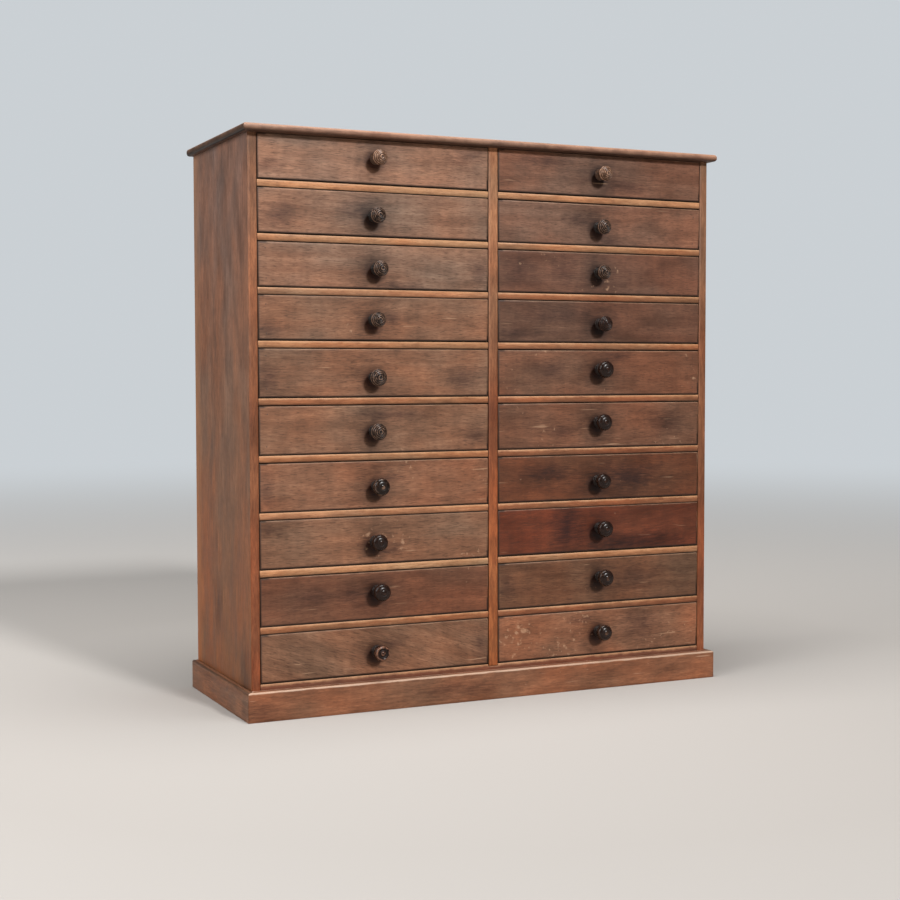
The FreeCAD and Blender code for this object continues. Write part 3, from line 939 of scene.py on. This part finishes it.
frontColours = dict(faded=(0.295, 0.166, 0.110), brown=(0.235, 0.130, 0.084), dull=(0.220, 0.112, 0.066),
                    warm=(0.250, 0.110, 0.060), russet=(0.190, 0.090, 0.055), dark=(0.165, 0.071, 0.039),
                    umber=(0.135, 0.060, 0.036), soot=(0.124, 0.054, 0.031), murky=(0.152, 0.062, 0.033),
                    olive=(0.137, 0.065, 0.035), red=(0.120, 0.041, 0.017), ruby=(0.120, 0.030, 0.011))
# Top row first: colour of the front, head, stain and diameter in mm of the knob, fall of the grain
# per metre, and which end of the front shows pins
drawerLooks = {
    "left": [("faded", "beehive", "tan", 20.5, 0.02, ""), ("brown", "beehive", "brown", 21, -0.01, ""),
             ("brown", "beehive", "brown", 21, 0.01, "l"), ("dull", "beehive", "brown", 20.5, -0.03, "l"),
             ("dull", "beehive", "brown", 23, 0.0, "l"), ("dull", "beehive", "brown", 22.5, 0.02, "l"),
             ("warm", "button", "brown", 24, -0.01, ""), ("dull", "button", "black", 22.5, 0.01, ""),
             ("murky", "button", "black", 24, -0.02, ""), ("dull", "target", "chestnut", 22.5, 0.30, "")],
    "right": [("russet", "beehive", "tan", 20.5, 0.01, ""), ("russet", "beehive", "brown", 21, -0.02, "r"),
              ("umber", "beehive", "brown", 20.5, 0.0, ""), ("soot", "beehive", "black", 22, 0.02, ""),
              ("dark", "button", "black", 24.5, -0.01, "r"), ("dark", "button", "black", 24, 0.0, ""),
              ("red", "button", "black", 22.5, 0.02, ""), ("ruby", "button", "black", 24, -0.05, ""),
              ("olive", "button", "umber", 24.5, 0.01, ""), ("warm", "button", "umber", 23.5, 0.0, "")],
}
# How bruised each front is, and its two smudges: mm aside and up from the knob, half width and height
drawerMarks = {
    "left": [(0.3, (-150, -16, 26, 12), (132, 10, 30, 18)), (0.3, (-24, 5, 30, 18), (-137, -4, 32, 20)),
             (0.3, (36, -23, 40, 8), (153, 0, 18, 20)), (0.8, (24, 5, 24, 10), (-150, -14, 30, 14)),
             (0.4, (-150, -2, 20, 26), (134, -2, 32, 20)), (0.5, (22, 22, 62, 9), (150, -10, 26, 18)),
             (1.0, (20, 10, 24, 5), (-155, 0, 14, 26)), (1.0, (22, -12, 22, 10), (-148, 22, 18, 7)),
             (0.3, (-94, -3, 34, 14), (-38, -1, 22, 13)), (0.3, (24, 8, 16, 7), (154, -4, 14, 26))],
    "right": [(0.3, (46, -15, 40, 11), (-84, 14, 52, 12)), (0.4, (-30, 11, 28, 11), (22, -19, 20, 7)),
              (0.8, (-127, 0, 24, 24), (-58, 2, 22, 18)), (0.3, (-70, 12, 60, 13), (-132, -14, 34, 11)),
              (1.0, (-80, 0, 32, 15), (28, 20, 28, 9)), (0.8, (114, -2, 32, 20), (-60, -14, 30, 10)),
              (0.3, (52, 4, 60, 24), (-84, 12, 44, 15)), (0.4, (-54, 4, 26, 46), (60, -24, 80, 16)),
              (0.3, (60, -6, 40, 20), (-150, -8, 16, 20)), (1.0, (70, 4, 44, 30), (-30, 18, 22, 8))],
}
deepSmudges = ("drawer_right_07", "drawer_right_08")
drawerShape = dict(frontEase=1.0 * mm, frontReach=2.2 * mm, boxEase=0.4 * mm, knobReach=12 * mm,
                   sideThickness=8 * mm, smudged=0.62, deeplySmudged=1.0)


def placeOfKnob(node):
    # The middle of the knob's face, brought back to the front of the board
    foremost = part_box(node)[0].y
    face = [vertex.co for vertex in frame["nodes"][node].data.vertices if vertex.co.y < foremost + 0.1 * mm]
    return Vector((sum(corner.x for corner in face) / len(face), frontFace,
                   sum(corner.z for corner in face) / len(face)))


def drawerFront(body, colour, slant, marks, knobPlace):
    # The copied node's knob comes away
    piece = copyOfNode(body + "_front", body + "_board")

    def nearKnob(face):
        return all(math.hypot(corner.x - knobPlace.x, corner.z - knobPlace.z) < drawerShape["knobReach"]
                   for corner in cornersOf(piece, face))

    selectFaces(piece, nearKnob)
    bpy.ops.mesh.select_linked()
    bpy.ops.mesh.delete(type="FACE")
    setMode("OBJECT")
    easeEdges(piece, drawerShape["frontEase"], 3)
    markArrisMask(piece, drawerShape["frontReach"], boardShape["smallest"])
    depth = drawerShape["deeplySmudged" if body in deepSmudges else "smudged"]
    markPiece(piece, seed=random.random(), slant=slant, boardColour=frontColours[colour], bruised=marks[0],
              smudged=depth)
    markSmudges(piece, [(knobPlace.x / mm + aside, frontFace / mm, knobPlace.z / mm + up,
                         halfWidth, 1000, halfHeight) for aside, up, halfWidth, halfHeight in marks[1:]])
    faceMap = piece.data.uv_layers.new(name="faceMap")
    for loop in piece.data.loops:
        spot = piece.data.vertices[loop.vertex_index].co
        faceMap.data[loop.index].uv = (spot.x - knobPlace.x, spot.z - knobPlace.z)
    dressPiece(piece, frontWood)
    return piece


def drawerBox(node, name):
    # The grain of the sides runs front to back
    piece = copyOfNode(node, name)
    low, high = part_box(node)
    easeEdges(piece, drawerShape["boxEase"], 1)
    markPiece(piece, seed=random.random())
    dressPiece(piece, liningWood, crossLiningWood)
    for face in piece.data.polygons:
        inward = min(face.center.x - low.x, high.x - face.center.x)
        face.material_index = 0 if inward < drawerShape["sideThickness"] else 1
    return piece


def frontPins(name, node, end):
    low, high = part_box(node)
    x = low.x + pinShape["fromEnd"] if end == "l" else high.x - pinShape["fromEnd"]
    places = []
    for z in (low.z + pinShape["fromEdge"], high.z - pinShape["fromEdge"]):
        places.append((x + random.uniform(-1, 1) * pinShape["strays"], frontFace,
                       z + random.uniform(-1, 1) * pinShape["strayUp"]))
    return nailHeads(name, places, pinShape, -1)


def dressDrawer(body, looks, marks):
    colour, head, stain, diameter, slant, pinnedEnd = looks
    node = body + "_front"
    knobPlace = placeOfKnob(node)
    front = drawerFront(body, colour, slant, marks, knobPlace)
    finishPiece(front, body, "drawer_front_wood", node)
    finishPiece(turnKnob(body + "_knob", head, stain, knobPlace, diameter), body, "knob_wood")
    finishPiece(drawerBox(body + "_box", body + "_lining"), body, "drawer_lining_wood", body + "_box")
    if pinnedEnd:
        finishPiece(frontPins(body + "_pins", node, pinnedEnd), body, "drawer_front_wood")


for side, column in drawerLooks.items():
    for row, (looks, marks) in enumerate(zip(column, drawerMarks[side]), 1):
        dressDrawer("drawer_%s_%02d" % (side, row), looks, marks)
print("drawers made")


# Floor, light and camera

studio = dict(floorColour=(0.44, 0.412, 0.385), farFloorColour=(0.86, 0.85, 0.83),
              roomColour=(0.90, 0.955, 1.0, 1), ambient=0.05, glossShare=0.12, backdrop=0.66, fadesFrom=1.2,
              fadesTo=6.0, floorRoughness=0.9)
# Each lamp's degrees to the right of the cabinet's front and above level, its distance and settings
lamps = {"key": (12.0, 28.0, 3.0, "SUN", {"energy": 2.65, "angle": math.radians(8.0)}),
         "fill": (-80.0, 30.0, 3.2, "AREA", {"energy": 74.0, "shape": "DISK", "size": 2.6}),
         "over": (-12.0, 82.0, 2.2, "AREA", {"energy": 60.0, "shape": "DISK", "size": 1.5})}


def addFloor():
    clearSelection()
    bpy.ops.mesh.primitive_plane_add(size=60, location=(0, 0, 0))
    floor = bpy.context.object
    floor.name = "floor"
    material, give, add = newMaterial("paleFloor", specular=0.0)
    # Paler in the distance, where the camera sees it turn into the backdrop
    away = lengthOf(add, add("TexCoord").outputs["Object"])
    colour = mixColours(add, rangeOf(add, away, 0.8, 5.0), studio["floorColour"], studio["farFloorColour"])
    gone = add("MapRange", {"Value": away, "From Min": studio["fadesFrom"], "From Max": studio["fadesTo"]},
               interpolation_type="SMOOTHSTEP").outputs["Result"]
    gone = times(add, gone, add("LightPath").outputs["Is Camera Ray"])
    black = (0.0, 0.0, 0.0)
    backdropColour = tuple(part * studio["backdrop"] for part in studio["roomColour"][:3])
    give({"Base Color": mixColours(add, gone, colour, black), "Roughness": studio["floorRoughness"],
          "Emission Color": mixColours(add, gone, black, backdropColour), "Emission Strength": 1.0})
    floor.data.materials.append(material)


def addWorld():
    # The camera sees a pale backdrop, and the room is dimmer
    world = bpy.data.worlds.new("studio")
    bpy.context.scene.world = world
    world.use_nodes = True
    add = nodeAdder(world.node_tree)
    background = world.node_tree.nodes["Background"]
    rays = add("LightPath").outputs
    shown = calculate(add, "MAXIMUM", rays["Is Camera Ray"], rays["Is Transmission Ray"])
    shown = timesPlus(add, rays["Is Glossy Ray"], studio["glossShare"], shown)
    strength = rangeOf(add, shown, 0, 1, studio["ambient"], studio["backdrop"])
    background.inputs["Color"].default_value = studio["roomColour"]
    world.node_tree.links.new(strength, background.inputs["Strength"])


def addLamp(name, aside, up, distance, kind, settings):
    aside, up = math.radians(aside), math.radians(up)
    away = Vector((math.sin(aside) * math.cos(up), -math.cos(aside) * math.cos(up), math.sin(up)))
    light = bpy.data.lights.new(name, kind)
    for setting, value in settings.items():
        setattr(light, setting, value)
    lamp = newObject(name, light)
    lamp.location = Vector((0, 0, 0.4)) + away * distance
    lamp.rotation_euler = (-away).to_track_quat("-Z", "Y").to_euler()


cameraView = dict(place=(-0.9606, -2.0249, 0.4504), turnRight=25.096, tiltDown=2.813, roll=-0.098,
                  lens=61.81, sensor=36.0)


def addCamera():
    turn, tilt, roll = (math.radians(cameraView[name]) for name in ("turnRight", "tiltDown", "roll"))
    ahead = Vector((math.sin(turn) * math.cos(tilt), math.cos(turn) * math.cos(tilt), -math.sin(tilt)))
    level = Vector((math.cos(turn), -math.sin(turn), 0))
    upright = level.cross(ahead)
    right = math.cos(roll) * level + math.sin(roll) * upright
    up = math.cos(roll) * upright - math.sin(roll) * level
    lens = bpy.data.cameras.new("photoView")
    lens.sensor_width = cameraView["sensor"]
    lens.lens = cameraView["lens"]
    camera = newObject("photoView", lens)
    turned = Matrix((right, up, -ahead)).transposed().to_4x4()
    camera.matrix_world = Matrix.Translation(cameraView["place"]) @ turned
    bpy.context.scene.camera = camera


addFloor()
addWorld()
for name, settings in lamps.items():
    addLamp(name, *settings)
addCamera()
bpy.context.scene.view_settings.view_transform = "Standard"
print("stage set")
